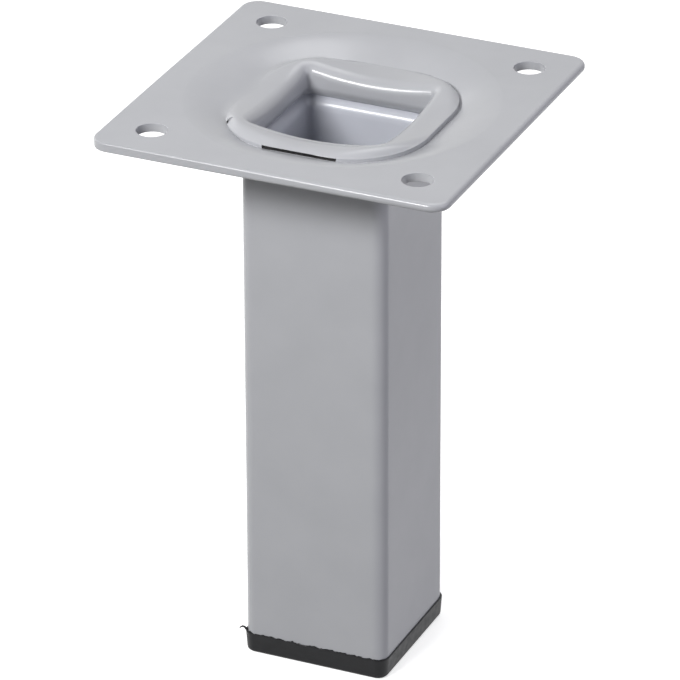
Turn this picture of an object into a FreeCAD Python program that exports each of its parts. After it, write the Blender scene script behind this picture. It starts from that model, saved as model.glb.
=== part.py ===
"""Square table leg: a stamped mounting plate, a square tube flared into its dish, and a plastic foot cap.

Frame: millimetres, +Z up, origin in the middle of the foot's underside. The tube's sides face X and Y.
"""
import FreeCAD, Part
import math
import os
import Sketcher

from FreeCAD import Rotation, Vector

doc = FreeCAD.newDocument("SquareTableLeg")

# Driving dimensions, in millimetres
DRIVING_SIZES = {
    "leg_height": 96.5,
    # Square tube
    "tube_size": 25.0,
    "tube_wall": 1.5,
    "tube_corner": 2.2,
    # Stamped plate and its four screw holes
    "plate_size": 60.0,
    "plate_thickness": 1.5,
    "plate_corner": 3.0,
    "plate_edge_round": 0.5,
    "screw_pitch": 45.0,
    "screw_diameter": 5.0,
    # Shallow round dish drawn into the plate, sized outward from the lip that lies in it
    "dish_depth": 2.3,
    "dish_slope_run": 4.8,
    "dish_bend": 2.5,
    "dish_shoulder": 8.0,
    "tube_clearance": 0.15,
    # Mouth of the tube, flared over and thinned onto the dish's floor, with its crest highest at the corners
    "lip_reach": 4.9,
    "lip_corner": 12.5,
    "lip_bend": 0.7,
    "lip_thickness": 0.6,
    "lip_clearance": 0.1,
    "crest_rise": 1.1,
    # Open slit under the front lip, and the small tear in the lip's front left corner
    "slit_length": 12.6,
    "slit_height": 0.4,
    "slit_offset": 0.2,
    "tear_radius": 0.45,
    "tear_angle": 39.0,
    # Bead rolled outward under the dish's floor, and the groove that it leaves inside the tube
    "bead_height": 5.5,
    "bead_reach": 1.1,
    "groove_height": 2.2,
    "groove_depth": 0.9,
    "collar_margin": 1.0,
    # Foot cap: the flange that shows, and the ribbed plug inside the tube
    "foot_height": 3.5,
    "foot_corner": 1.8,
    "foot_draft": 3.5,
    "foot_edge_round": 0.6,
    "plug_length": 12.0,
    "plug_wall": 1.6,
    "plug_corner": 1.5,
    "plug_lead": 0.8,
    "rib_reach": 0.8,
    "rib_thickness": 1.0,
    "rib_pitch": 3.2,
    "rib_start": 2.0,
    "rib_count": 3,
    "rib_clearance": 0.1,
}

# Sizes that follow from the driving dimensions
DERIVED_SIZES = {
    "tube_inside": "tube_size - 2 * tube_wall",
    "inside_corner": "tube_corner - tube_wall",
    "tube_hole": "tube_size + 2 * tube_clearance",
    "tube_hole_corner": "tube_corner + tube_clearance",
    "screw_offset": "screw_pitch / 2",
    "lip_half": "tube_size / 2 + lip_reach",
    "lip_diagonal": "(lip_half - lip_corner) * sqrt(2) + lip_corner",
    "lip_top": "dish_depth - lip_thickness",
    "tear_distance": "lip_diagonal - tear_radius",
    "dish_slope": "sqrt(dish_slope_run ^ 2 + dish_depth ^ 2)",
    # A bend into or out of the slope takes this share of its radius from the flat beside it
    "bend_share": "dish_depth / (dish_slope_run + dish_slope)",
    "dish_floor_radius": "lip_diagonal + lip_clearance + dish_bend * bend_share",
    "dish_top_radius": "dish_floor_radius + dish_slope_run",
    "dish_underside": "dish_depth + plate_thickness",
    # With its lower skin's corners this much further out, the sheet is as thick on the slope as on the flat
    "underside_shift": "plate_thickness * bend_share",
    "boss_floor_radius": "dish_floor_radius + underside_shift",
    "boss_top_radius": "dish_top_radius + underside_shift",
    "groove_top": "dish_underside + (bead_height - groove_height) / 2",
    "collar_depth": "dish_underside + bead_height + collar_margin",
    "plug_size": "tube_inside - 2 * rib_clearance - 2 * rib_reach",
    "plug_bore": "plug_size - 2 * plug_wall",
    "rib_size": "tube_inside - 2 * rib_clearance",
    "rib_corner": "inside_corner - rib_clearance",
}

sheet = doc.addObject("Spreadsheet::Sheet", "Sizes")


def add_cell(alias, content):
    """One named cell in the next free row."""
    row = len(sheet.getUsedCells()) + 1
    sheet.set(f"A{row}", content)
    sheet.setAlias(f"A{row}", alias)


for alias, value in DRIVING_SIZES.items():
    add_cell(alias, str(value))
for alias, formula in DERIVED_SIZES.items():
    add_cell(alias, f"={formula}")
doc.recompute()


def size(alias):
    """A cell's value as a number."""
    return float(sheet.get(alias))


# Helpers for bodies, sketches and features


def new_body(label):
    body = doc.addObject("PartDesign::Body", label)
    body.Label = label
    return body


def sketch_on(body, name, role, height=None):
    """A sketch on one of the body's origin planes, lifted by an expression if one is given."""
    sketch = body.newObject("Sketcher::SketchObject", name)
    plane = next(item for item in body.Origin.OriginFeatures if item.Role == role)
    sketch.AttachmentSupport = [(plane, "")]
    sketch.MapMode = "FlatFace"
    if height:
        sketch.setExpression("AttachmentOffset.Base.z", height)
    return sketch


def bind(sketch, constraint, name, cell):
    """Adds a dimension to a sketch and ties it to a cell."""
    index = sketch.addConstraint(constraint)
    sketch.renameConstraint(index, name)
    sketch.setExpression(f"Constraints.{name}", f"Sizes.{cell}")


def rounded_square(sketch, side, corner):
    """A square about the sketch's origin with rounded corners, its side and corner radius named by cells."""
    half = size(side) / 2
    radius = size(corner)
    flat = half - radius
    lines = []
    arcs = []
    for quarter in range(4):
        turn = Rotation(Vector(0, 0, 1), 90 * quarter)
        start = turn.multVec(Vector(half, -flat, 0))
        end = turn.multVec(Vector(half, flat, 0))
        centre = turn.multVec(Vector(flat, flat, 0))
        lines.append(sketch.addGeometry(Part.LineSegment(start, end)))
        circle = Part.Circle(centre, Vector(0, 0, 1), radius)
        angle = quarter * math.pi / 2
        arcs.append(sketch.addGeometry(Part.ArcOfCircle(circle, angle, angle + math.pi / 2)))
    for quarter in range(4):
        following = lines[(quarter + 1) % 4]
        sketch.addConstraint(Sketcher.Constraint("Tangent", lines[quarter], 2, arcs[quarter], 1))
        sketch.addConstraint(Sketcher.Constraint("Tangent", arcs[quarter], 2, following, 1))
        upright = "Vertical" if quarter % 2 == 0 else "Horizontal"
        sketch.addConstraint(Sketcher.Constraint(upright, lines[quarter]))
    for arc in arcs[1:]:
        sketch.addConstraint(Sketcher.Constraint("Equal", arcs[0], arc))
    sketch.addConstraint(Sketcher.Constraint("Symmetric", arcs[0], 3, arcs[2], 3, -1, 1))
    across = Sketcher.Constraint("DistanceX", lines[2], 1, lines[0], 1, 2 * half)
    along = Sketcher.Constraint("DistanceY", lines[3], 1, lines[1], 1, 2 * half)
    bind(sketch, across, f"{side}_across", side)
    bind(sketch, along, f"{side}_along", side)
    bind(sketch, Sketcher.Constraint("Radius", arcs[0], radius), f"{side}_radius", corner)


def half_section(sketch, corners):
    """A closed outline for turning about the vertical axis. Each corner is a radius and a depth, named by
    cells, or None where it lies on an axis."""
    points = []
    for radius, depth in corners:
        points.append(Vector(size(radius) if radius else 0, -size(depth) if depth else 0, 0))
    count = len(points)
    lines = []
    for index in range(count):
        line = Part.LineSegment(points[index], points[(index + 1) % count])
        lines.append(sketch.addGeometry(line))
    for index in range(count):
        sketch.addConstraint(Sketcher.Constraint("Coincident", lines[index - 1], 2, lines[index], 1))
    for index, (radius, depth) in enumerate(corners):
        line = lines[index]
        point = points[index]
        if radius:
            outward = Sketcher.Constraint("DistanceX", -1, 1, line, 1, point.x)
            bind(sketch, outward, f"{radius}_{index}", radius)
        else:
            sketch.addConstraint(Sketcher.Constraint("PointOnObject", line, 1, -2))
        if depth:
            downward = Sketcher.Constraint("DistanceY", line, 1, -1, 1, -point.y)
            bind(sketch, downward, f"{depth}_{index}", depth)
        else:
            sketch.addConstraint(Sketcher.Constraint("PointOnObject", line, 1, -1))


def feature_on(body, kind, name, sketch, **settings):
    """A sketch-based feature. Text settings that name cells are bound as expressions."""
    feature = body.newObject(f"PartDesign::{kind}", name)
    feature.Profile = sketch
    for setting, value in settings.items():
        if isinstance(value, str) and "Sizes." in value:
            feature.setExpression(setting, value)
        else:
            setattr(feature, setting, value)
    doc.recompute()
    return feature


def round_edges(body, base, name, radius, wanted):
    """A fillet on every edge of the base feature that is wanted."""
    edges = [f"Edge{index}" for index, edge in enumerate(base.Shape.Edges, start=1) if wanted(edge)]
    fillet = body.newObject("PartDesign::Fillet", name)
    fillet.Base = (base, edges)
    fillet.setExpression("Radius", radius)
    doc.recompute()
    return fillet


def lies_at(edge, height):
    """Whether a whole edge lies at one height in its body."""
    box = edge.BoundBox
    return abs(box.ZMin - height) < 1e-4 and abs(box.ZMax - height) < 1e-4


def is_ring(edge, radius, height):
    """Whether an edge is a full circle of a given radius about the vertical axis at one height."""
    if not lies_at(edge, height) or not isinstance(edge.Curve, Part.Circle):
        return False
    return edge.isClosed() and abs(edge.Curve.Radius - radius) < 1e-4


# Mounting plate, with its upper face at the body's own zero height


def make_plate():
    body = new_body("mounting_plate")
    body.setExpression("Placement.Base.z", "Sizes.leg_height")

    outline = sketch_on(body, "plate_outline", "XY_Plane")
    rounded_square(outline, "plate_size", "plate_corner")
    feature_on(body, "Pad", "sheet_blank", outline, Length="Sizes.plate_thickness", Reversed=True)

    boss_section = sketch_on(body, "boss_section", "XZ_Plane")
    half_section(
        boss_section,
        [
            (None, "plate_thickness"),
            ("boss_top_radius", "plate_thickness"),
            ("boss_floor_radius", "dish_underside"),
            (None, "dish_underside"),
        ],
    )
    boss = feature_on(
        body, "Revolution", "dish_boss", boss_section, ReferenceAxis=(boss_section, ["V_Axis"]), Angle=360
    )

    hollow_section = sketch_on(body, "hollow_section", "XZ_Plane")
    half_section(
        hollow_section,
        [
            (None, None),
            ("dish_top_radius", None),
            ("dish_floor_radius", "dish_depth"),
            (None, "dish_depth"),
        ],
    )
    dish = feature_on(
        body, "Groove", "dish_hollow", hollow_section, ReferenceAxis=(hollow_section, ["V_Axis"]), Angle=360
    )
    if dish.Shape.Volume >= boss.Shape.Volume:
        raise RuntimeError("the dish was not hollowed")

    top_radius = size("dish_top_radius")
    floor_radius = size("dish_floor_radius")
    boss_top = size("boss_top_radius")
    boss_floor = size("boss_floor_radius")
    thickness = size("plate_thickness")
    depth = size("dish_depth")
    underside = size("dish_underside")

    bends = [
        ("floor_bend", "Sizes.dish_bend", floor_radius, -depth),
        ("floor_bend_below", "Sizes.dish_bend + Sizes.plate_thickness", boss_floor, -underside),
        ("shoulder", "Sizes.dish_shoulder", top_radius, 0),
        ("shoulder_below", "Sizes.dish_shoulder - Sizes.plate_thickness", boss_top, -thickness),
    ]
    bent = dish
    for name, bend, radius, height in bends:
        bent = round_edges(body, bent, name, bend, lambda edge: is_ring(edge, radius, height))

    tube_hole = sketch_on(body, "tube_hole_outline", "XY_Plane")
    rounded_square(tube_hole, "tube_hole", "tube_hole_corner")
    opened = feature_on(body, "Pocket", "tube_hole_cut", tube_hole, Type="ThroughAll")
    if opened.Shape.Volume >= bent.Shape.Volume:
        raise RuntimeError("the tube's hole was not cut")
    hole_half = size("tube_hole") / 2 + 1e-3

    def on_hole(edge):
        box = edge.BoundBox
        return lies_at(edge, -depth) and max(box.XMax, box.YMax) < hole_half

    eased = round_edges(body, opened, "tube_hole_edge", "Sizes.lip_bend", on_hole)

    screw = sketch_on(body, "screw_hole_outline", "XY_Plane")
    offset = size("screw_offset")
    circle = Part.Circle(Vector(offset, offset, 0), Vector(0, 0, 1), size("screw_diameter") / 2)
    hole = screw.addGeometry(circle)
    bind(screw, Sketcher.Constraint("DistanceX", -1, 1, hole, 3, offset), "across", "screw_offset")
    bind(screw, Sketcher.Constraint("DistanceY", -1, 1, hole, 3, offset), "along", "screw_offset")
    bind(screw, Sketcher.Constraint("Diameter", hole, size("screw_diameter")), "bore", "screw_diameter")
    first_hole = feature_on(body, "Pocket", "screw_hole", screw, Type="ThroughAll")
    if first_hole.Shape.Volume >= eased.Shape.Volume:
        raise RuntimeError("the screw hole was not cut")
    pattern = body.newObject("PartDesign::PolarPattern", "screw_holes")
    pattern.Originals = [first_hole]
    pattern.Axis = (screw, ["N_Axis"])
    pattern.Angle = 360
    pattern.Occurrences = 4
    body.Tip = pattern
    doc.recompute()

    rim = size("plate_size") / 2 - size("plate_corner") - 1e-3

    def on_rim(edge):
        middle = edge.CenterOfMass
        flat = lies_at(edge, 0) or lies_at(edge, -thickness)
        return flat and max(abs(middle.x), abs(middle.y)) > rim and not edge.isClosed()

    rounded = round_edges(body, pattern, "plate_rim", "Sizes.plate_edge_round", on_rim)
    body.Tip = rounded
    return body


# Square tube: a straight length of tube stock, and the beaded and flared mouth above it


def make_tube_stock():
    body = new_body("tube_stock")
    section = sketch_on(body, "tube_section", "XY_Plane", "Sizes.foot_height")
    rounded_square(section, "tube_size", "tube_corner")
    rounded_square(section, "tube_inside", "inside_corner")
    feature_on(
        body, "Pad", "tube_length", section,
        Length="Sizes.leg_height - Sizes.collar_depth - Sizes.foot_height",
    )
    return body


def mouth_ring(half, corner, depth, rise, weight=1.0):
    """Control points round one ring of the mouth, as eight arcs of three weighted points: four sides of a
    rounded square that sag in the middle, and four corners that stand higher than that middle by the rise.
    The depth is that of the sides' middles below the plate's upper face."""
    flat = half - corner
    # This height of the corners' ends lets each side run smoothly into its corners
    blend = (1 + math.sqrt(2)) * flat
    shoulder = rise * blend / (2 * corner + blend)
    sag = -shoulder
    peak = (rise * (2 + math.sqrt(2)) - 2 * shoulder) / math.sqrt(2)
    round_weight = weight * math.sqrt(0.5)
    arcs = []
    for quarter in range(4):
        turn = Rotation(Vector(0, 0, 1), 90 * quarter)
        start = turn.multVec(Vector(half, -flat, shoulder - depth))
        middle = turn.multVec(Vector(half, 0, sag - depth))
        end = turn.multVec(Vector(half, flat, shoulder - depth))
        outside = turn.multVec(Vector(half, half, peak - depth))
        following = turn.multVec(Vector(flat, half, shoulder - depth))
        arcs.append([(start, weight), (middle, weight), (end, weight)])
        arcs.append([(end, weight), (outside, round_weight), (following, weight)])
    return arcs


# A bulge's control rings from its foot up, as shares of its height and of its reach
BULGE_PROFILE = (
    (0, 0), (1 / 8, 0), (1 / 4, 1 / 2), (3 / 8, 1), (1 / 2, 1),
    (5 / 8, 1), (3 / 4, 1 / 2), (7 / 8, 0), (1, 0),
)


def mouth_skin(wall, bulge, bend, lip_depth):
    """Rings up one skin of the mouth. Each span from one ring on the skin to the next has a control ring
    between them: straight wall, the four spans of the bulge, straight wall, the bend, the lip. The wall
    comes as half size and corner, the bulge as top, height and reach, the bend as reach and height."""
    wall_half, wall_corner = wall
    bulge_top, bulge_height, bulge_reach = bulge
    bend_reach, bend_height = bend
    lip_half = size("lip_half")
    crest = size("crest_rise")
    collar = size("collar_depth")
    bulge_foot = bulge_top + bulge_height
    bend_depth = lip_depth + bend_height
    bend_half = wall_half + bend_reach
    spread = (size("lip_corner") - wall_corner) / (lip_half - wall_half)

    def ring(half, depth, rise=0.0, weight=1.0):
        return mouth_ring(half, wall_corner + spread * (half - wall_half), depth, rise, weight)

    rings = [ring(wall_half, collar), ring(wall_half, (collar + bulge_foot) / 2)]
    for height_share, reach_share in BULGE_PROFILE:
        swell = bulge_reach * reach_share
        depth = bulge_foot - bulge_height * height_share
        rings.append(mouth_ring(wall_half + swell, wall_corner + swell, depth, 0.0))
    rings += [
        ring(wall_half, (bulge_top + bend_depth) / 2, crest / 2),
        ring(wall_half, bend_depth, crest),
        ring(wall_half, lip_depth, crest, math.sqrt(0.5)),
        ring(bend_half, lip_depth, crest),
        ring((bend_half + lip_half) / 2, lip_depth, crest),
        ring(lip_half, lip_depth),
    ]
    return rings


def patch(rows):
    """A smooth face on three or fewer rows of weighted control points."""
    surface = Part.BezierSurface()
    surface.increase(len(rows) - 1, len(rows[0]) - 1)
    for row, points in enumerate(rows, start=1):
        for column, (point, weight) in enumerate(points, start=1):
            surface.setPole(row, column, point, weight)
    return surface.toShape()


def skin_faces(rings):
    """The faces of a skin, one for each span of rings and each arc of a ring."""
    faces = []
    for first in range(0, len(rings) - 1, 2):
        for arcs in zip(rings[first], rings[first + 1], rings[first + 2]):
            faces.append(patch(arcs))
    return faces


def make_mouth():
    """The mouth as a closed solid between its inner and outer skins, with its rim cut square."""
    bend = size("lip_bend")
    inner = mouth_skin(
        (size("tube_inside") / 2, size("inside_corner")),
        (size("groove_top"), size("groove_height"), size("groove_depth")),
        (bend + size("tube_wall"), bend + size("lip_thickness")),
        size("lip_top"),
    )
    outer = mouth_skin(
        (size("tube_size") / 2, size("tube_corner")),
        (size("dish_underside"), size("bead_height"), size("bead_reach")),
        (bend, bend),
        size("dish_depth"),
    )
    faces = skin_faces(inner) + skin_faces(outer)
    for end in (0, -1):
        faces += [patch(arcs) for arcs in zip(inner[end], outer[end])]
    skin = Part.Compound(faces)
    skin.sewShape()
    solid = Part.Solid(skin.Shells[0])
    if solid.Volume < 0:
        solid.reverse()
    feature = doc.addObject("Part::Feature", "tube_mouth")
    feature.Shape = solid
    feature.Placement.Base = Vector(0, 0, size("leg_height"))
    return feature


def make_tube():
    stock = make_tube_stock()
    mouth = make_mouth()
    joined = doc.addObject("Part::Fuse", "flared_tube")
    joined.Base = stock
    joined.Tool = mouth
    joined.Refine = True

    slit = doc.addObject("Part::Box", "lip_slit")
    slit.setExpression("Length", "Sizes.slit_length")
    slit.setExpression("Width", "Sizes.lip_reach")
    slit.setExpression("Height", "Sizes.slit_height")
    slit.setExpression("Placement.Base.x", "Sizes.slit_offset - Sizes.slit_length / 2")
    slit.setExpression("Placement.Base.y", "-Sizes.lip_half - Sizes.lip_bend")
    slit.setExpression("Placement.Base.z", "Sizes.leg_height - Sizes.dish_depth")
    slitted = doc.addObject("Part::Cut", "slitted_tube")
    slitted.Base = joined
    slitted.Tool = slit

    tear = doc.addObject("Part::Cylinder", "lip_tear")
    tear.setExpression("Radius", "Sizes.tear_radius")
    tear.setExpression("Height", "Sizes.dish_depth")
    tear.setExpression("Placement.Base.x", "-Sizes.tear_distance * cos(Sizes.tear_angle)")
    tear.setExpression("Placement.Base.y", "-Sizes.tear_distance * sin(Sizes.tear_angle)")
    tear.setExpression("Placement.Base.z", "Sizes.leg_height - Sizes.dish_depth")
    tube = doc.addObject("Part::Cut", "leg_tube")
    tube.Base = slitted
    tube.Tool = tear
    tube.Label = "leg_tube"
    doc.recompute()
    return tube


# Foot cap: a drafted flange, a hollow plug and the ribs that grip the tube


def make_foot_cap():
    body = new_body("foot_cap")
    outline = sketch_on(body, "flange_outline", "XY_Plane")
    rounded_square(outline, "tube_size", "foot_corner")
    flange = feature_on(
        body, "Pad", "flange", outline, Length="Sizes.foot_height", TaperAngle="Sizes.foot_draft"
    )
    round_edges(body, flange, "flange_edge", "Sizes.foot_edge_round", lambda edge: lies_at(edge, 0))

    plug_outline = sketch_on(body, "plug_outline", "XY_Plane", "Sizes.foot_height")
    rounded_square(plug_outline, "plug_size", "plug_corner")
    plug = feature_on(body, "Pad", "plug", plug_outline, Length="Sizes.plug_length")
    plug_top = size("foot_height") + size("plug_length")
    lead_edges = [
        f"Edge{index}" for index, edge in enumerate(plug.Shape.Edges, start=1) if lies_at(edge, plug_top)
    ]
    lead = body.newObject("PartDesign::Chamfer", "plug_lead_in")
    lead.Base = (plug, lead_edges)
    lead.setExpression("Size", "Sizes.plug_lead")
    doc.recompute()

    rib_outline = sketch_on(body, "rib_outline", "XY_Plane", "Sizes.foot_height + Sizes.rib_start")
    rounded_square(rib_outline, "rib_size", "rib_corner")
    rib = feature_on(body, "Pad", "rib", rib_outline, Length="Sizes.rib_thickness")
    ribs = body.newObject("PartDesign::LinearPattern", "ribs")
    ribs.Originals = [rib]
    ribs.Direction = (rib_outline, ["N_Axis"])
    ribs.setExpression("Length", "Sizes.rib_pitch * (Sizes.rib_count - 1)")
    ribs.setExpression("Occurrences", "Sizes.rib_count")
    body.Tip = ribs
    doc.recompute()

    bore_outline = sketch_on(body, "bore_outline", "XY_Plane", "Sizes.foot_height + Sizes.plug_length")
    rounded_square(bore_outline, "plug_bore", "plug_corner")
    bore = feature_on(body, "Pocket", "plug_hollow", bore_outline, Length="Sizes.plug_length")
    if bore.Shape.Volume >= ribs.Shape.Volume:
        raise RuntimeError("the plug was not hollowed")
    return body


pieces = [make_plate(), make_tube(), make_foot_cap()]
doc.recompute()

for item in doc.Objects:
    if "Invalid" in item.State or "Error" in item.State:
        raise RuntimeError(f"{item.Label} failed: {item.State}")
for piece in pieces:
    if piece.Shape.isNull() or not piece.Shape.isValid():
        raise RuntimeError(f"{piece.Label} has no valid shape")

os.makedirs("parts", exist_ok=True)
for piece in pieces:
    piece.Shape.exportStep(f"parts/{piece.Label}.step")
    print(piece.Label, len(piece.Shape.Solids), "solid", round(piece.Shape.Volume, 1), "mm3")
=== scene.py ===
import functools
import math

import bmesh
import bpy
from mathutils import Matrix, Vector, noise


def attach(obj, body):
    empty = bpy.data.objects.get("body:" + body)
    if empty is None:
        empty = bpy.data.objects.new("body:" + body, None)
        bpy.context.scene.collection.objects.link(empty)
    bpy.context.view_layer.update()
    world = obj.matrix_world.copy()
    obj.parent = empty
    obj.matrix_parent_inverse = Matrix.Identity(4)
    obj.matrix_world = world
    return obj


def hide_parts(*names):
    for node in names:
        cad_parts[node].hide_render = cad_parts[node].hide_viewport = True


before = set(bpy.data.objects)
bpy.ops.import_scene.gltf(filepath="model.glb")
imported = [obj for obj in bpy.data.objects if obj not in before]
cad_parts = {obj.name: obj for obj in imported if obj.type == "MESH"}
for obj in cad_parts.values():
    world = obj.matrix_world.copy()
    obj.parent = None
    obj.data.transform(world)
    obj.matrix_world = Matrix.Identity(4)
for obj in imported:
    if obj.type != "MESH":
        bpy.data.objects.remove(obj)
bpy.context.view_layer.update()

# Square table leg: stamped plate, flared square tube and plastic foot cap, each finished over its CAD solid

# Sizes shared with the CAD solids, in millimetres, with heights measured from the foot's underside
MM = 0.001
LEG_HEIGHT = 96.5
TUBE_HALF = 12.5
TUBE_WALL = 1.5
TUBE_CORNER = 2.2
BORE_HALF = TUBE_HALF - TUBE_WALL
BORE_CORNER = TUBE_CORNER - TUBE_WALL
PLATE_HALF = 30.0
PLATE_THICKNESS = 1.5
PLATE_CORNER = 3.0
SCREW_OFFSET = 22.5
SCREW_RADIUS = 2.5
TUBE_CLEARANCE = 0.15
HOLE_HALF = TUBE_HALF + TUBE_CLEARANCE
HOLE_CORNER = TUBE_CORNER + TUBE_CLEARANCE
DISH_DEPTH = 2.3
DISH_UNDERSIDE = DISH_DEPTH + PLATE_THICKNESS
LIP_REACH = 4.9
LIP_HALF = TUBE_HALF + LIP_REACH
LIP_CORNER = 12.5
LIP_BEND = 0.7
LIP_THICKNESS = 0.6
CREST_RISE = 1.1
SLIT_LEFT = -6.1
SLIT_RIGHT = 6.5
TEAR_ANGLE = 39.0
TEAR_DISTANCE = 18.98
BEAD_HEIGHT = 5.5
BEAD_REACH = 1.1
COLLAR_MARGIN = 1.0
COLLAR_DEPTH = DISH_UNDERSIDE + BEAD_HEIGHT + COLLAR_MARGIN
FOOT_HEIGHT = 3.5
FOOT_CORNER = 1.8
FOOT_EDGE_ROUND = 0.6
FOOT_SPREAD = 0.214
RIB_CLEARANCE = 0.1
RIB_REACH = 0.8
RIB_HALF = BORE_HALF - RIB_CLEARANCE
RIB_CORNER = BORE_CORNER - RIB_CLEARANCE
RIB_START = 2.0
RIB_THICKNESS = 1.0
RIB_PITCH = 3.2
RIB_COUNT = 3
PLUG_LENGTH = 12.0
PLUG_TOP = FOOT_HEIGHT + PLUG_LENGTH
PLUG_HALF = RIB_HALF - RIB_REACH
PLUG_CORNER = 1.5
PLUG_WALL = 1.6
PLUG_LEAD = 0.8

# Weights of a conic arc's middle control point: for a quarter circle, and for a parabola
ROUND_WEIGHT = math.sqrt(0.5)
SOFT_WEIGHT = 1.0

FRONT = Vector((0, -1, 0))
RIGHT = Vector((1, 0, 0))


# Rings and skins

SIDE_STEPS = 16
CORNER_STEPS = 12
WELD_DISTANCE = 1e-4
SHARP_ANGLE = math.radians(40)


def arc_point(controls, weight, share):
    """A point on the conic arc that three control points give."""
    parts = ((1 - share) ** 2, 2 * share * (1 - share) * weight, share ** 2)
    point = Vector((0, 0, 0))
    for control, part in zip(controls, parts):
        point += control * (part / sum(parts))
    return point


def square_ring(half, corner, height, rise=0.0, side_steps=SIDE_STEPS, corner_steps=CORNER_STEPS):
    """Points round a rounded square, its corners standing above the middles of its sides by the rise."""
    flat = half - corner
    blend = (1 + math.sqrt(2)) * flat
    shoulder = rise * blend / (2 * corner + blend)
    peak = (rise * (2 + math.sqrt(2)) - 2 * shoulder) / math.sqrt(2)
    side = [Vector((half, -flat, shoulder)), Vector((half, 0, -shoulder)), Vector((half, flat, shoulder))]
    turn = [side[2], Vector((half, half, peak)), Vector((flat, half, shoulder))]
    points = []
    for quarter in range(4):
        place = Matrix.Translation((0, 0, height)) @ Matrix.Rotation(quarter * math.pi / 2, 4, "Z")
        for controls, weight, steps in ((side, SOFT_WEIGHT, side_steps), (turn, ROUND_WEIGHT, corner_steps)):
            points += [place @ arc_point(controls, weight, step / steps) for step in range(steps)]
    return points


def draw_ring(bm, points):
    """A closed loop of edges."""
    verts = [bm.verts.new(point) for point in points]
    return [bm.edges.new((verts[index - 1], verts[index])) for index in range(len(verts))]


def skin_rings(bm, rings, closed=False):
    """Bridges each ring of points to the next, and the last to the first if closed. Returns the loops."""
    loops = [draw_ring(bm, ring) for ring in rings]
    pairs = list(zip(loops, loops[1:]))
    if closed:
        pairs.append((loops[-1], loops[0]))
    for lower, upper in pairs:
        bmesh.ops.bridge_loops(bm, edges=lower + upper)
    return loops


def close_ends(bm, loops):
    """Caps the first and the last loop of a skin."""
    for end in (loops[0], loops[-1]):
        bmesh.ops.contextual_create(bm, geom=end)


def edges_of(faces):
    """Every edge of some faces once, in a fixed order."""
    return list(dict.fromkeys(edge for face in faces for edge in face.edges))


def turn_outward(bm):
    """Faces every shell of the mesh outwards."""
    bmesh.ops.recalc_face_normals(bm, faces=bm.faces)
    waiting = set(bm.faces)
    while waiting:
        shell = [waiting.pop()]
        volume = 0.0
        for face in shell:
            first, *others = (vert.co for vert in face.verts)
            volume += sum(first.dot(one.cross(two)) for one, two in zip(others, others[1:]))
            for edge in face.edges:
                for neighbour in edge.link_faces:
                    if neighbour in waiting:
                        waiting.remove(neighbour)
                        shell.append(neighbour)
        if volume < 0:
            bmesh.ops.reverse_faces(bm, faces=shell)


def finish_piece(name, bm, node, slot, *finishes):
    """Turns a mesh in millimetres into a piece that stands for its CAD node."""
    bmesh.ops.remove_doubles(bm, verts=bm.verts, dist=WELD_DISTANCE)
    turn_outward(bm)
    bmesh.ops.scale(bm, vec=(MM, MM, MM), verts=bm.verts)
    mesh = bpy.data.meshes.new(name)
    bm.to_mesh(mesh)
    bm.free()
    mesh.shade_smooth()
    mesh.set_sharp_from_angle(angle=SHARP_ANGLE)
    for finish in finishes:
        mesh.materials.append(finish)
    piece = bpy.data.objects.new(name, mesh)
    bpy.context.scene.collection.objects.link(piece)
    normals = piece.modifiers.new("even_normals", "WEIGHTED_NORMAL")
    normals.keep_sharp = True
    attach(piece, "root")
    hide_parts(node)


# Flared tube

# The mouth's finer forms: what its upper skin adds to the CAD solid's, in millimetres or as a share
LIP_NARROWING = 0.037
LIP_ROUND = 0.12
MOUTH_BEND = 2.0
CORNER_GROWTH = 1.35
FRONT_CREST = 0.45
FRONT_CREST_FADE = 4
RIGHT_LIFT = 0.25
RIGHT_LIFT_FADE = 2
GROOVE_TOP = 4.34
GROOVE_HEIGHT = 4.3
GROOVE_DEPTH = 1.4

# The slit is a little above the dish's floor, and the tear is an oval that narrows upwards
SLIT_FLOOR = 0.03
SLIT_REACH = 3.0
TEAR_RADIUS = 0.55
TEAR_STRETCH = 1.35
TEAR_TAPER = 0.8
TEAR_SIDES = 20
CUT_TOLERANCE = 1e-5

# How far the normal of an upright face may lean
RIM_LEAN = 0.1
TEAR_LEAN = 0.3

# Control rings of a bulge from its foot up, as shares of its height and reach: the bead outside, and the
# groove inside, a rounded ledge under a long overhang
BEAD_PROFILE = (
    (0, 0), (1 / 8, 0), (1 / 4, 1 / 2), (3 / 8, 1), (1 / 2, 1),
    (5 / 8, 1), (3 / 4, 1 / 2), (7 / 8, 0), (1, 0),
)
GROOVE_PROFILE = (
    (0, 0), (0.36, 0), (0.507, 0.97), (0.547, 1.05), (0.558, 0.82),
    (0.563, 0.657), (0.609, 0.543), (0.83, 0), (1, 0),
)
GROOVE_CREVICE = GROOVE_PROFILE[3][0]

# Steps along each span of a skin: collar, four for the bulge, throat, bend and lip, and then the lip's rim
MOUTH_STEPS = (1, 8, 6, 6, 6, 2, 12, 10)
RIM_STEPS = 5

# Slot of the near-black painted shade for the slit and the tear
PAINTED_SHADE_INDEX = 1
# Slot of a lighter, bluer copy of the paint down the bore below the groove's crevice
LIGHTER_BORE_INDEX = 2


def narrowed(points, share=1.0):
    """A ring drawn in sideways, as the lip reaches less far to left and right than to front and back."""
    return [Vector((point.x * (1 - LIP_NARROWING * share), point.y, point.z)) for point in points]


def raised(points, side, lift, fade):
    """A ring with one side lifted, fading out round its corners."""
    return [
        point + Vector((0, 0, lift * max(0, point.dot(side) / point.xy.length) ** fade)) for point in points
    ]


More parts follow.
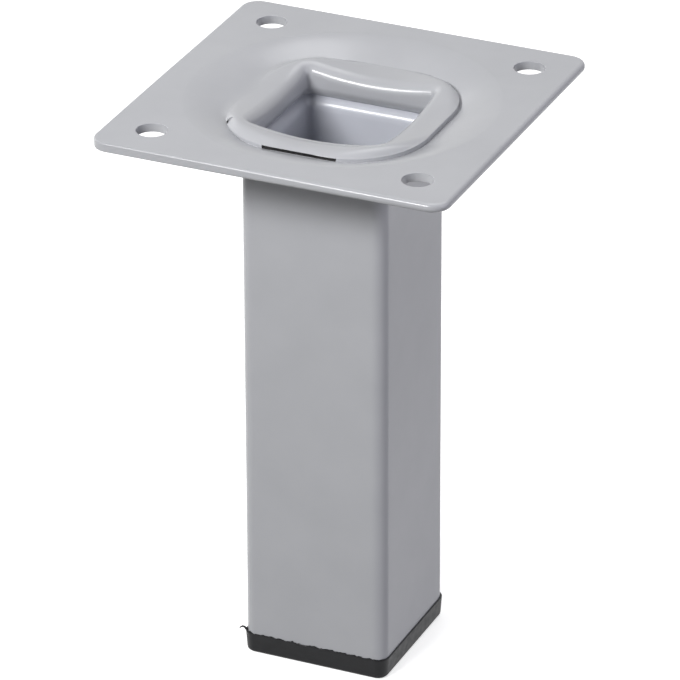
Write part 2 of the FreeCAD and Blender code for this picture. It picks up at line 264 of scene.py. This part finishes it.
def mouth_skin(wall, bulge, bend, lip_depth, upper):
    """Rings up one skin of the tube, from its cut end to the lip's rim. The upper skin has finer forms."""
    wall_half, wall_corner = wall
    bulge_profile, bulge_top, bulge_height, bulge_reach = bulge
    bend_reach, bend_height = bend
    finer = (LIP_ROUND, FRONT_CREST, RIGHT_LIFT, CORNER_GROWTH) if upper else (0, 0, 0, 1)
    rim_round, front_crest, right_lift, corner_growth = finer
    bulge_foot = bulge_top + bulge_height
    bend_depth = lip_depth + bend_height
    bend_half = wall_half + bend_reach
    lip_end = LIP_HALF - rim_round

    def ring(half, depth, rise=0.0):
        share = (half - wall_half) / (LIP_HALF - wall_half)
        corner = wall_corner + (LIP_CORNER - wall_corner) * share ** corner_growth
        return narrowed(square_ring(half, corner, LEG_HEIGHT - depth, rise), share)

    def lip_ring(half, depth):
        return raised(ring(half, depth), RIGHT, right_lift, RIGHT_LIFT_FADE)

    lip_middle = ring((bend_half + lip_end) / 2, lip_depth, CREST_RISE)
    controls = [
        (ring(wall_half, COLLAR_DEPTH), SOFT_WEIGHT),
        (ring(wall_half, (COLLAR_DEPTH + bulge_foot) / 2), SOFT_WEIGHT),
    ]
    for height_share, reach_share in bulge_profile:
        swell = bulge_reach * reach_share
        height = LEG_HEIGHT - bulge_foot + bulge_height * height_share
        controls.append((square_ring(wall_half + swell, wall_corner + swell, height), SOFT_WEIGHT))
    controls += [
        (ring(wall_half, (bulge_top + bend_depth) / 2, CREST_RISE / 2), SOFT_WEIGHT),
        (ring(wall_half, bend_depth, CREST_RISE), SOFT_WEIGHT),
        (ring(wall_half, lip_depth, CREST_RISE), ROUND_WEIGHT),
        (ring(bend_half, lip_depth, CREST_RISE), SOFT_WEIGHT),
        (raised(lip_middle, FRONT, 2 * front_crest, FRONT_CREST_FADE), SOFT_WEIGHT),
        (lip_ring(lip_end, lip_depth), SOFT_WEIGHT),
    ]
    steps = list(MOUTH_STEPS)
    if upper:
        controls.append((lip_ring(LIP_HALF, lip_depth), ROUND_WEIGHT))
        controls.append((lip_ring(LIP_HALF, lip_depth + rim_round), SOFT_WEIGHT))
        steps.append(RIM_STEPS)

    rings = [square_ring(wall_half, wall_corner, FOOT_HEIGHT), controls[0][0]]
    for span, count in enumerate(steps):
        (first, _), (middle, weight), (last, _) = controls[2 * span:2 * span + 3]
        for step in range(1, count + 1):
            rings.append([arc_point(points, weight, step / count) for points in zip(first, middle, last)])
    return rings


def upper_skin():
    """The skin that shows: up the bore, over the groove and the bend, and out to the lip's rim."""
    wall = (BORE_HALF, BORE_CORNER)
    groove = (GROOVE_PROFILE, GROOVE_TOP, GROOVE_HEIGHT, GROOVE_DEPTH)
    bend = (LIP_BEND + TUBE_WALL, MOUTH_BEND)
    return mouth_skin(wall, groove, bend, DISH_DEPTH - LIP_THICKNESS, upper=True)


def lower_skin():
    """The tube's outside, with the bead under the plate, and the lip's underside."""
    bead = (BEAD_PROFILE, DISH_UNDERSIDE, BEAD_HEIGHT, BEAD_REACH)
    return mouth_skin((TUBE_HALF, TUBE_CORNER), bead, (LIP_BEND, LIP_BEND), DISH_DEPTH, upper=False)


def open_slit(bm):
    """Sinks the front of the lip's rim into a narrow slit just above the dish; its darkness is painted shade,
    given in mark_finishes.
    """
    low = LEG_HEIGHT - DISH_DEPTH + SLIT_FLOOR
    high = LEG_HEIGHT - DISH_DEPTH + LIP_THICKNESS - LIP_ROUND

    def on_rim(face):
        centre = face.calc_center_median()
        return centre.y < -TUBE_HALF and low < centre.z < high and abs(face.normal.z) < RIM_LEAN

    for x in (SLIT_LEFT, SLIT_RIGHT):
        faces = [face for face in bm.faces if on_rim(face)]
        verts = list(dict.fromkeys(vert for face in faces for vert in face.verts))
        geom = faces + edges_of(faces) + verts
        bmesh.ops.bisect_plane(bm, geom=geom, plane_co=(x, 0, 0), plane_no=(1, 0, 0), dist=CUT_TOLERANCE)
    front = [
        face for face in bm.faces
        if on_rim(face) and SLIT_LEFT < face.calc_center_median().x < SLIT_RIGHT
    ]
    sunk = bmesh.ops.extrude_face_region(bm, geom=front)["geom"]
    sunk_verts = [item for item in sunk if isinstance(item, bmesh.types.BMVert)]
    bmesh.ops.translate(bm, vec=(0, SLIT_REACH, 0), verts=sunk_verts)
    bmesh.ops.delete(bm, geom=front, context="FACES")


def tear_spot():
    """The tear's place on the dish's floor, under the lip's front left corner."""
    angle = math.radians(TEAR_ANGLE)
    place = Vector((math.cos(angle), math.sin(angle), 0)) * -TEAR_DISTANCE
    return narrowed([place + Vector((0, 0, LEG_HEIGHT - DISH_DEPTH))])[0]


def cut_tear(bm):
    """Cuts the small tear out of the lip's front left corner."""
    cutter = bmesh.new()
    turn = Matrix.Translation(tear_spot()) @ Matrix.Rotation(math.radians(TEAR_ANGLE), 4, "Z")
    bmesh.ops.create_cone(
        cutter, cap_ends=True, segments=TEAR_SIDES, depth=2 * DISH_DEPTH,
        radius1=TEAR_RADIUS, radius2=TEAR_RADIUS * TEAR_TAPER,
        matrix=turn @ Matrix.Diagonal((TEAR_STRETCH, 1, 1, 1)),
    )
    objects = []
    for mesh_name, source in (("uncut_tube", bm), ("tear_cutter", cutter)):
        mesh = bpy.data.meshes.new(mesh_name)
        source.to_mesh(mesh)
        source.free()
        item = bpy.data.objects.new(mesh_name, mesh)
        bpy.context.scene.collection.objects.link(item)
        objects.append(item)
    tube, tool = objects
    cut = tube.modifiers.new("tear", "BOOLEAN")
    cut.operation = "DIFFERENCE"
    cut.solver = "EXACT"
    cut.object = tool
    result = bmesh.new()
    result.from_object(tube, bpy.context.evaluated_depsgraph_get())
    for item in objects:
        mesh = item.data
        bpy.data.objects.remove(item)
        bpy.data.meshes.remove(mesh)
    return result


def mark_finishes(bm):
    """Near-black painted shade inside the slit and the tear, standing for their shadow, and a lighter, bluer
    paint down the bore below the groove's crevice.
    """
    low = LEG_HEIGHT - DISH_DEPTH + SLIT_FLOOR / 2
    high = LEG_HEIGHT - DISH_DEPTH + LIP_THICKNESS - LIP_ROUND / 2
    crevice = LEG_HEIGHT - GROOVE_TOP - GROOVE_HEIGHT * (1 - GROOVE_CREVICE)
    slit_end = SLIT_REACH - LIP_HALF + SLIT_FLOOR
    for face in bm.faces:
        centre = face.calc_center_median()
        in_slit = SLIT_LEFT <= centre.x <= SLIT_RIGHT and -LIP_HALF < centre.y < slit_end
        near_tear = (centre - tear_spot()).xy.length < 2 * TEAR_RADIUS
        in_tear = near_tear and abs(face.normal.z) < TEAR_LEAN
        if low < centre.z < high and (in_slit or in_tear):
            # Painted shade where the slit and the tear lie in shadow
            face.material_index = PAINTED_SHADE_INDEX
        elif centre.z < crevice and face.normal.xy.dot(centre.xy) < 0:
            # A lighter, bluer paint on the bore's inner faces below the crevice
            face.material_index = LIGHTER_BORE_INDEX


def make_tube(paint, slit_shade, lighter_bore):
    bm = bmesh.new()
    slit_foot = narrowed(square_ring(LIP_HALF, LIP_CORNER, LEG_HEIGHT - DISH_DEPTH + SLIT_FLOOR))
    skin_rings(bm, upper_skin() + [slit_foot] + lower_skin()[::-1], closed=True)
    bmesh.ops.recalc_face_normals(bm, faces=bm.faces)
    open_slit(bm)
    bm = cut_tear(bm)
    mark_finishes(bm)
    finish_piece("flared_tube", bm, "leg_tube", "tube_paint", paint, slit_shade, lighter_bore)


# Mounting plate

# Steps round the plate, and which of them make up a corner of its outline and a screw hole's sector
PLATE_STEPS = 192
QUARTER_STEPS = PLATE_STEPS // 4
CORNER_START = 19
CORNER_END = QUARTER_STEPS - CORNER_START
SECTOR_START = 16
DISH_STEPS = 36
EDGE_STEPS = 6
SCREW_STEPS = 48

# The edge is rounded over, and less so towards the front left, where it was sheared sharper
PLATE_EDGE_ROUND = 0.7
SHARP_SIDE = Vector((-0.8, -0.6))
SHARPENING = 0.7
SHARPENING_FADE = 1.5
SCREW_EDGE_ROUND = 0.1

# The dish is a bowl that rises from the lip's outline to a circle
DISH_RADIUS = 25.4
DISH_BOWL = 1.5

# Paint fills the seam along the lip at the back left, and on the left it runs up onto the lip in a fillet.
# The limits say between which cosines to its side each of them fades in
SEAM_ROUND = 0.06
SEAM_LIFT = 0.61
SEAM_SIDE = Vector((-1, 1)).normalized()
SEAM_LIMITS = (-0.4, 0.3)
FILLET_SIDE = Vector((-0.976, 0.216))
FILLET_LIMITS = (0.65, 0.80)
FILLET_STEPS = 6
FILLET_LIP_STEPS = 3


def square_outline(half, corner, height):
    """A rounded square with a point for each of the plate's steps, close together in its corners."""
    flat = half - corner
    points = []
    for step in range(PLATE_STEPS):
        quarter, share = divmod(step, QUARTER_STEPS)
        if share < CORNER_START:
            point = Vector((half, half * math.tan(share * math.tau / PLATE_STEPS), height))
        elif share <= CORNER_END:
            angle = (share - CORNER_START) / (CORNER_END - CORNER_START) * math.pi / 2
            point = Vector((flat + corner * math.cos(angle), flat + corner * math.sin(angle), height))
        else:
            point = Vector((half * math.tan((QUARTER_STEPS - share) * math.tau / PLATE_STEPS), half, height))
        points.append(Matrix.Rotation(quarter * math.pi / 2, 3, "Z") @ point)
    return points


def round_outline(half, corner, height):
    """A rounded square with a point for each of the plate's steps, on that step's own ray from the middle."""
    flat = half - corner
    points = []
    for step in range(PLATE_STEPS):
        angle = step * math.tau / PLATE_STEPS
        ray = Vector((abs(math.cos(angle)), abs(math.sin(angle))))
        if max(ray) * flat >= min(ray) * half:
            reach = half / max(ray)
        else:
            along = flat * (ray.x + ray.y)
            reach = along + math.sqrt(along ** 2 - 2 * flat ** 2 + corner ** 2)
        points.append(Vector((reach * math.cos(angle), reach * math.sin(angle), height)))
    return points


def facing_share(point, side, limits):
    """1 where a point lies towards one side of the middle, 0 away from it, and a smooth passage between."""
    low, high = limits
    share = min(max((point.xy.normalized().dot(side) - low) / (high - low), 0), 1)
    return share ** 2 * (3 - 2 * share)


def ring_towards(ring, target):
    """Where the ray from the middle towards a target crosses a ring."""
    ray = target.xy
    for first, second in zip(ring, ring[1:] + ring[:1]):
        before = ray.x * first.y - ray.y * first.x
        after = ray.x * second.y - ray.y * second.x
        if before <= 0 < after and first.xy.dot(ray) > 0:
            return first.lerp(second, before / (before - after))


def plate_edge(inset, height):
    """The plate's outline, its rounding kept smaller on the sharp side."""
    upper = height > LEG_HEIGHT - PLATE_THICKNESS / 2
    arris = square_outline(PLATE_HALF, PLATE_CORNER, LEG_HEIGHT if upper else LEG_HEIGHT - PLATE_THICKNESS)
    rounded = square_outline(PLATE_HALF - inset, PLATE_CORNER - inset, height)
    points = []
    for sharp, soft in zip(arris, rounded):
        towards = max(0, sharp.xy.normalized().dot(SHARP_SIDE))
        points.append(sharp.lerp(soft, 1 - SHARPENING * towards ** SHARPENING_FADE))
    return points


def tube_hole(inset, height):
    return square_outline(HOLE_HALF + inset, HOLE_CORNER + inset, height)


def screw_hole(quarter, inset, height):
    spot = Matrix.Rotation(quarter * math.pi / 2, 3, "Z") @ Vector((SCREW_OFFSET, SCREW_OFFSET, height))
    radius = SCREW_RADIUS + inset
    return [
        spot + Vector((radius * math.cos(angle), radius * math.sin(angle), 0))
        for angle in (step * math.tau / SCREW_STEPS for step in range(SCREW_STEPS))
    ]


def rounded_wall(ring_at, top, radius):
    """Rings down through the plate, both edges rounded over. ring_at takes an inset and a height."""
    bends = []
    for step in range(EDGE_STEPS + 1):
        angle = step / EDGE_STEPS * math.pi / 2
        bends.append((radius * (1 - math.sin(angle)), radius * (1 - math.cos(angle))))
    upper = [ring_at(inset, top - drop) for inset, drop in bends]
    lower = [ring_at(inset, top - PLATE_THICKNESS + drop) for inset, drop in reversed(bends)]
    return upper + lower


def run_onto_lip(dish):
    """Bends the dish's lowest rings up onto the lip in a fillet of paint."""
    lip = upper_skin()[-1 - RIM_STEPS - FILLET_LIP_STEPS]
    arcs = [(ring_towards(lip, low), low, high) for low, high in zip(dish[0], dish[FILLET_STEPS])]
    shares = [facing_share(point, FILLET_SIDE, FILLET_LIMITS) for point in dish[0]]
    for step in range(FILLET_STEPS):
        bends = [arc_point(arc, SOFT_WEIGHT, step / FILLET_STEPS) for arc in arcs]
        dish[step] = [plain.lerp(bend, share) for plain, bend, share in zip(dish[step], bends, shares)]


def dish_rings(top, painted):
    """Rings up the dish's slope, from the lip's outline to a circle, with the painted face's seam filled."""
    foot = narrowed(round_outline(LIP_HALF + SEAM_ROUND, LIP_CORNER + SEAM_ROUND, top))
    rim = round_outline(DISH_RADIUS, DISH_RADIUS, top)
    depths = [DISH_DEPTH] * PLATE_STEPS
    if painted:
        fills = [facing_share(point, SEAM_SIDE, SEAM_LIMITS) for point in foot]
        cover = SEAM_ROUND + LIP_ROUND
        foot = [point - point.xy.normalized().to_3d() * cover * fill for point, fill in zip(foot, fills)]
        depths = [DISH_DEPTH - SEAM_LIFT * fill for fill in fills]
    dish = []
    for step in range(DISH_STEPS + 1):
        share = step / DISH_STEPS
        dish.append([
            low.lerp(high, share) - Vector((0, 0, depth * (1 - share) ** DISH_BOWL))
            for low, high, depth in zip(foot, rim, depths)
        ])
    if painted:
        run_onto_lip(dish)
    return dish


def open_screw_hole(bm, older, quarter, top):
    """Swaps the newest face's flat sector in one corner for a face with a screw hole in it."""
    first = quarter * QUARTER_STEPS + SECTOR_START
    last = (quarter + 1) * QUARTER_STEPS - SECTOR_START
    sector = []
    for face in bm.faces:
        centre = face.calc_center_median()
        step = math.atan2(centre.y, centre.x) % math.tau / math.tau * PLATE_STEPS
        if face not in older and centre.xy.length > DISH_RADIUS and first < step < last:
            sector.append(face)
    border = [edge for edge in edges_of(sector) if sum(face in sector for face in edge.link_faces) == 1]
    bmesh.ops.delete(bm, geom=sector, context="FACES_ONLY")
    loose = [edge for edge in bm.edges if not edge.link_faces and edge not in border]
    bmesh.ops.delete(bm, geom=loose, context="EDGES")
    hole = draw_ring(bm, screw_hole(quarter, SCREW_EDGE_ROUND, top))
    bmesh.ops.triangle_fill(bm, use_beauty=True, use_dissolve=False, edges=border + hole, normal=(0, 0, 1))


def plate_skin(bm, top, painted):
    """One face of the plate: dished in the middle, flat round it, open at every hole."""
    older = set(bm.faces)
    rings = [tube_hole(LIP_BEND, top - DISH_DEPTH)]
    if painted:
        rings.append(narrowed(round_outline(LIP_HALF, LIP_CORNER, top - DISH_DEPTH)))
    skin_rings(bm, rings + dish_rings(top, painted) + [plate_edge(PLATE_EDGE_ROUND, top)])
    for quarter in range(4):
        open_screw_hole(bm, older, quarter, top)


def make_plate(paint):
    bm = bmesh.new()
    plate_skin(bm, LEG_HEIGHT, painted=True)
    plate_skin(bm, LEG_HEIGHT - PLATE_THICKNESS, painted=False)
    skin_rings(bm, rounded_wall(plate_edge, LEG_HEIGHT, PLATE_EDGE_ROUND))
    skin_rings(bm, rounded_wall(tube_hole, LEG_HEIGHT - DISH_DEPTH, LIP_BEND))
    for quarter in range(4):
        skin_rings(bm, rounded_wall(functools.partial(screw_hole, quarter), LEG_HEIGHT, SCREW_EDGE_ROUND))
    finish_piece("stamped_plate", bm, "mounting_plate", "plate_paint", paint)


# Foot cap

FOOT_EDGE_STEPS = 6

# A thin skin of plastic stands up the tube: ragged in front, even elsewhere, with a spike at the back right.
# Each wave of its ragged edge has a strength and a pitch
FLASH_HEIGHT = 0.4
FLASH_THICKNESS = 0.1
FLASH_GAP = 0.03
FLASH_SINK = 0.02
FLASH_WAVES = ((0.6, 0.5), (0.6, 1.7), (0.45, 4.5))
FLASH_LEAST = 0.1
FLASH_MIDDLE = 0.45
FLASH_SWING = 0.8
FLASH_EVEN = 0.3
FLASH_FRONT_BAND = 1.5
FLASH_SIDE_STEPS = 72
FLASH_CORNER_STEPS = 14
SPIKE_SPOT = Vector((12.3, 11.6, FOOT_HEIGHT))

# The middle and radius of a hair of plastic that leaves the front left corner, rises and bends over
CURL_PATH = (
    (-12.2, -11.35, 3.2, 0.22), (-12.5, -11.5, 3.6, 0.21), (-12.75, -11.6, 3.95, 0.19),
    (-13.05, -11.72, 4.05, 0.16), (-13.35, -11.85, 3.9, 0.12), (-13.5, -11.92, 3.65, 0.06),
)
CURL_SIDES = 8


def flash_height(point):
    """How far the thin skin stands up the tube."""
    rough = sum(strength * noise.noise(point * pitch) for strength, pitch in FLASH_WAVES)
    ragged = min(1, max(FLASH_LEAST, FLASH_MIDDLE + FLASH_SWING * rough))
    front = min(1, max(0, -point.y - TUBE_HALF + FLASH_FRONT_BAND))
    spike = math.exp(-(point - SPIKE_SPOT).length_squared)
    return FLASH_HEIGHT * (FLASH_EVEN + (ragged - FLASH_EVEN) * front + spike)


def add_flash(bm):
    """The thin ragged skin that was squeezed up round the tube's end."""
    outer = TUBE_HALF + FOOT_SPREAD - FLASH_SINK
    inner = TUBE_HALF + FLASH_GAP

    def ring(half, standing):
        corner = TUBE_CORNER + FLASH_GAP + half - inner
        points = square_ring(half, corner, FOOT_HEIGHT, 0.0, FLASH_SIDE_STEPS, FLASH_CORNER_STEPS)
        return [point + Vector((0, 0, flash_height(point) if standing else -FLASH_SINK)) for point in points]

    skin_rings(bm, [
        ring(outer, False), ring(inner + FLASH_THICKNESS, True), ring(inner, True), ring(inner, False),
    ], closed=True)


def add_curl(bm):
    """The tapering hair at the front left corner."""
    corners = [step * math.tau / CURL_SIDES for step in range(CURL_SIDES)]
    rings = []
    for index, (*middle, radius) in enumerate(CURL_PATH):
        before = Vector(CURL_PATH[max(0, index - 1)][:3])
        after = Vector(CURL_PATH[min(len(CURL_PATH) - 1, index + 1)][:3])
        facing = (after - before).to_track_quat("Z", "Y").to_matrix()
        rings.append([
            Vector(middle) + facing @ Vector((math.cos(angle), math.sin(angle), 0)) * radius
            for angle in corners
        ])
    close_ends(bm, skin_rings(bm, rings))


def make_foot(plastic):
    bm = bmesh.new()
    sections = []
    for step in range(FOOT_EDGE_STEPS + 1):
        angle = step / FOOT_EDGE_STEPS * math.pi / 2
        inset = FOOT_EDGE_ROUND * (1 - math.sin(angle))
        sections.append((TUBE_HALF - inset, FOOT_CORNER - inset, FOOT_EDGE_ROUND * (1 - math.cos(angle))))
    sections.append((TUBE_HALF + FOOT_SPREAD, FOOT_CORNER + FOOT_SPREAD, FOOT_HEIGHT))
    sections.append((PLUG_HALF, PLUG_CORNER, FOOT_HEIGHT))
    for rib in range(RIB_COUNT):
        low = FOOT_HEIGHT + RIB_START + rib * RIB_PITCH
        high = low + RIB_THICKNESS
        sections += [
            (PLUG_HALF, PLUG_CORNER, low), (RIB_HALF, RIB_CORNER, low),
            (RIB_HALF, RIB_CORNER, high), (PLUG_HALF, PLUG_CORNER, high),
        ]
    sections += [
        (PLUG_HALF, PLUG_CORNER, PLUG_TOP - PLUG_LEAD),
        (PLUG_HALF - PLUG_LEAD, PLUG_CORNER - PLUG_LEAD, PLUG_TOP),
        (PLUG_HALF - PLUG_WALL, PLUG_CORNER, PLUG_TOP),
        (PLUG_HALF - PLUG_WALL, PLUG_CORNER, FOOT_HEIGHT),
    ]
    close_ends(bm, skin_rings(bm, [square_ring(*section) for section in sections]))
    add_flash(bm)
    add_curl(bm)
    finish_piece("moulded_foot", bm, "foot_cap", "black_plastic", plastic)


# Finishes

# Noise seldom leaves this range, so tones and roughness are spread over it
NOISE_LOW = 0.3
NOISE_HIGH = 0.7

SILVER_TONES = ((0.465, 0.472, 0.497), (0.495, 0.502, 0.527))
# A lighter, bluer tone of the same paint, for the bore below the groove's crevice
LIGHTER_BORE_TONES = ((0.55, 0.565, 0.62), (0.59, 0.605, 0.66))
# Painted shade: near-black tones for the shadow in the slit and the tear
PAINTED_SHADE_TONES = ((0.035, 0.035, 0.037), (0.065, 0.063, 0.065))
BLACK_TONES = ((0.006, 0.0062, 0.0072), (0.010, 0.0102, 0.0115))


class Finish:
    """A material under construction, on the piece's own coordinates."""

    def __init__(self, name):
        self.material = bpy.data.materials.new(name)
        self.material.use_nodes = True
        self.nodes = self.material.node_tree.nodes
        self.links = self.material.node_tree.links
        self.shader = self.nodes["Principled BSDF"]
        self.place = self.nodes.new("ShaderNodeTexCoord")

    def noise(self, scale, detail):
        node = self.nodes.new("ShaderNodeTexNoise")
        node.inputs["Scale"].default_value = scale
        node.inputs["Detail"].default_value = detail
        self.links.new(self.place.outputs["Object"], node.inputs["Vector"])
        return node.outputs["Fac"]

    def colour(self, source, tones):
        """Colours that wander between a dark and a light tone."""
        ramp = self.nodes.new("ShaderNodeValToRGB")
        for element, position, tone in zip(ramp.color_ramp.elements, (NOISE_LOW, NOISE_HIGH), tones):
            element.position = position
            element.color = (*tone, 1)
        self.links.new(source, ramp.inputs["Fac"])
        self.links.new(ramp.outputs["Color"], self.shader.inputs["Base Color"])

    def roughness(self, source, low, high):
        node = self.nodes.new("ShaderNodeMapRange")
        node.inputs["From Min"].default_value = NOISE_LOW
        node.inputs["From Max"].default_value = NOISE_HIGH
        node.inputs["To Min"].default_value = low
        node.inputs["To Max"].default_value = high
        self.links.new(source, node.inputs["Value"])
        self.links.new(node.outputs["Result"], self.shader.inputs["Roughness"])

    def bump(self, source, strength, depth, under=None):
        """Relief with a depth in metres, laid over the relief under it."""
        node = self.nodes.new("ShaderNodeBump")
        node.inputs["Strength"].default_value = strength
        node.inputs["Distance"].default_value = depth
        self.links.new(source, node.inputs["Height"])
        if under:
            self.links.new(under, node.inputs["Normal"])
        self.links.new(node.outputs["Normal"], self.shader.inputs["Normal"])
        return node.outputs["Normal"]


def silver_paint(name, tones):
    """Silver-grey baked paint: an even tone with a faint cloud, and a fine orange peel."""
    finish = Finish(name)
    finish.colour(finish.noise(scale=90, detail=3), tones)
    finish.roughness(finish.noise(scale=400, detail=3), low=0.20, high=0.27)
    peel = finish.bump(finish.noise(scale=1400, detail=2), strength=0.12, depth=0.00003)
    finish.bump(finish.noise(scale=6000, detail=1), strength=0.05, depth=0.00001, under=peel)
    finish.shader.inputs["IOR"].default_value = 1.5
    return finish.material


def painted_shade_finish():
    """Painted shade: a dull near-black finish that stands for the shadow inside the slit and the tear."""
    finish = Finish("painted_slit_shade")
    finish.colour(finish.noise(scale=800, detail=4), PAINTED_SHADE_TONES)
    finish.roughness(finish.noise(scale=1500, detail=3), low=0.55, high=0.75)
    finish.bump(finish.noise(scale=2500, detail=3), strength=0.3, depth=0.00004)
    finish.shader.inputs["Specular IOR Level"].default_value = 0.2
    return finish.material


def black_plastic():
    """Satin black moulded plastic with a fine spark-eroded grain."""
    finish = Finish("black_moulded_plastic")
    finish.colour(finish.noise(scale=500, detail=3), BLACK_TONES)
    finish.roughness(finish.noise(scale=900, detail=3), low=0.36, high=0.48)
    finish.bump(finish.noise(scale=3000, detail=2), strength=0.25, depth=0.00004)
    finish.shader.inputs["IOR"].default_value = 1.33
    return finish.material


make_plate(silver_paint("plate_silver_paint", SILVER_TONES))
# The tube's second finish is painted shade for the slit and the tear
make_tube(
    silver_paint("tube_silver_paint", SILVER_TONES), painted_shade_finish(),
    silver_paint("lighter_bore_paint", LIGHTER_BORE_TONES),
)
make_foot(black_plastic())


# Stage, in metres: white surroundings, a pale floor that keeps the shadow, and soft lamps

WORLD_STRENGTH = 0.04
FLOOR_HALF = 3.0
FLOOR_DROP = 0.0001
FLOOR_TONE = 0.85
FLOOR_GLOW = 0.68
FLOOR_BOUNCE = 0.09
LEG_MIDDLE = (0, 0, 0.05)
COOL_WHITE = (0.89, 0.885, 1.0)
SENSOR_WIDTH = 36.0
PHOTO_WIDTH = 680
VIEW_END = 20.0


def grey(tone):
    return (tone, tone, tone, 1)


def shown_rays(tree):
    """A socket that is 1 for rays from the camera, from gloss and through glass."""
    path = tree.nodes.new("ShaderNodeLightPath")
    total = path.outputs["Is Camera Ray"]
    for name in ("Is Glossy Ray", "Is Transmission Ray"):
        either = tree.nodes.new("ShaderNodeMath")
        either.operation = "MAXIMUM"
        tree.links.new(total, either.inputs[0])
        tree.links.new(path.outputs[name], either.inputs[1])
        total = either.outputs["Value"]
    return total


def mix_shaders(tree, share, plain, other):
    """The plain shader where the share is 0, and the other where it is 1."""
    mix = tree.nodes.new("ShaderNodeMixShader")
    tree.links.new(share, mix.inputs["Fac"])
    tree.links.new(plain, mix.inputs[1])
    tree.links.new(other, mix.inputs[2])
    return mix.outputs["Shader"]


def light_world():
    """White where it is seen or mirrored, and dim as a light."""
    world = bpy.data.worlds.new("studio")
    bpy.context.scene.world = world
    world.use_nodes = True
    tree = world.node_tree
    dim = tree.nodes["Background"]
    dim.inputs["Color"].default_value = grey(1)
    dim.inputs["Strength"].default_value = WORLD_STRENGTH
    white = tree.nodes.new("ShaderNodeBackground")
    white.inputs["Color"].default_value = grey(1)
    white.inputs["Strength"].default_value = 1.0
    mixed = mix_shaders(tree, shown_rays(tree), dim.outputs["Background"], white.outputs["Background"])
    tree.links.new(mixed, tree.nodes["World Output"].inputs["Surface"])


def floor_finish():
    """Near white where it is seen, with its shadow, dark to bounced light, and clear from below."""
    material = bpy.data.materials.new("pale_floor")
    material.use_nodes = True
    tree = material.node_tree
    matt = tree.nodes["Principled BSDF"]
    matt.inputs["Base Color"].default_value = grey(FLOOR_TONE)
    matt.inputs["Roughness"].default_value = 0.9
    matt.inputs["Specular IOR Level"].default_value = 0.0
    glow = tree.nodes.new("ShaderNodeEmission")
    glow.inputs["Strength"].default_value = FLOOR_GLOW
    seen = tree.nodes.new("ShaderNodeAddShader")
    tree.links.new(matt.outputs["BSDF"], seen.inputs[0])
    tree.links.new(glow.outputs["Emission"], seen.inputs[1])
    bounce = tree.nodes.new("ShaderNodeBsdfDiffuse")
    bounce.inputs["Color"].default_value = grey(FLOOR_BOUNCE)
    above = mix_shaders(tree, shown_rays(tree), bounce.outputs["BSDF"], seen.outputs["Shader"])
    clear = tree.nodes.new("ShaderNodeBsdfTransparent")
    side = tree.nodes.new("ShaderNodeNewGeometry")
    both = mix_shaders(tree, side.outputs["Backfacing"], above, clear.outputs["BSDF"])
    tree.links.new(both, tree.nodes["Material Output"].inputs["Surface"])
    return material


def lay_floor():
    bm = bmesh.new()
    bmesh.ops.create_grid(bm, x_segments=1, y_segments=1, size=FLOOR_HALF)
    mesh = bpy.data.meshes.new("floor")
    bm.to_mesh(mesh)
    bm.free()
    mesh.materials.append(floor_finish())
    floor = bpy.data.objects.new("floor", mesh)
    bpy.context.scene.collection.objects.link(floor)
    floor.location.z = -FLOOR_DROP


def add_lamp(name, place, target, size, watts, colour=(1, 1, 1)):
    data = bpy.data.lights.new(name, "AREA")
    data.shape = "RECTANGLE"
    data.size, data.size_y = size
    data.energy = watts
    data.color = colour
    lamp = bpy.data.objects.new(name, data)
    bpy.context.scene.collection.objects.link(lamp)
    lamp.location = place
    lamp.rotation_euler = (Vector(target) - Vector(place)).to_track_quat("-Z", "Y").to_euler()


def add_camera(azimuth, elevation, roll, distance, focal, side, lift):
    """A camera on the photograph's line of sight, in degrees and millimetres, its focal length in pixels."""
    turn = math.radians(azimuth)
    tilt = math.radians(elevation)
    spin = math.radians(roll)
    back = Vector((math.sin(turn) * math.cos(tilt), -math.cos(turn) * math.cos(tilt), math.sin(tilt)))
    level = Vector((math.cos(turn), math.sin(turn), 0))
    upright = back.cross(level)
    right = level * math.cos(spin) + upright * math.sin(spin)
    up = upright * math.cos(spin) - level * math.sin(spin)
    place = Vector((0, 0, LEG_HEIGHT / 2)) + back * distance - right * side - up * lift
    data = bpy.data.cameras.new("camera")
    data.sensor_width = SENSOR_WIDTH
    data.lens = SENSOR_WIDTH * focal / PHOTO_WIDTH
    data.clip_end = VIEW_END
    camera = bpy.data.objects.new("camera", data)
    bpy.context.scene.collection.objects.link(camera)
    camera.matrix_world = Matrix((
        (right.x, up.x, back.x, place.x * MM),
        (right.y, up.y, back.y, place.y * MM),
        (right.z, up.z, back.z, place.z * MM),
        (0, 0, 0, 1),
    ))
    bpy.context.scene.camera = camera


light_world()
lay_floor()
add_lamp("key", (-0.24, -0.59, 0.52), LEG_MIDDLE, size=(0.36, 0.16), watts=5.4)
add_lamp("back", (0.03, 0.45, 1.14), LEG_MIDDLE, size=(0.8, 0.8), watts=4.7)
add_lamp("rear", (-0.95, 0.45, 0.3), LEG_MIDDLE, size=(0.8, 0.8), watts=1.6)
add_lamp("fill", (1.0, 0.0, 0.30), (0, 0, 0.04), size=(0.8, 0.8), watts=3.85, colour=COOL_WHITE)
add_camera(
    azimuth=24.007, elevation=27.148, roll=-0.215, distance=939.645, focal=5835.7, side=0.585, lift=-4.953
)
bpy.context.scene.view_settings.view_transform = "Standard"
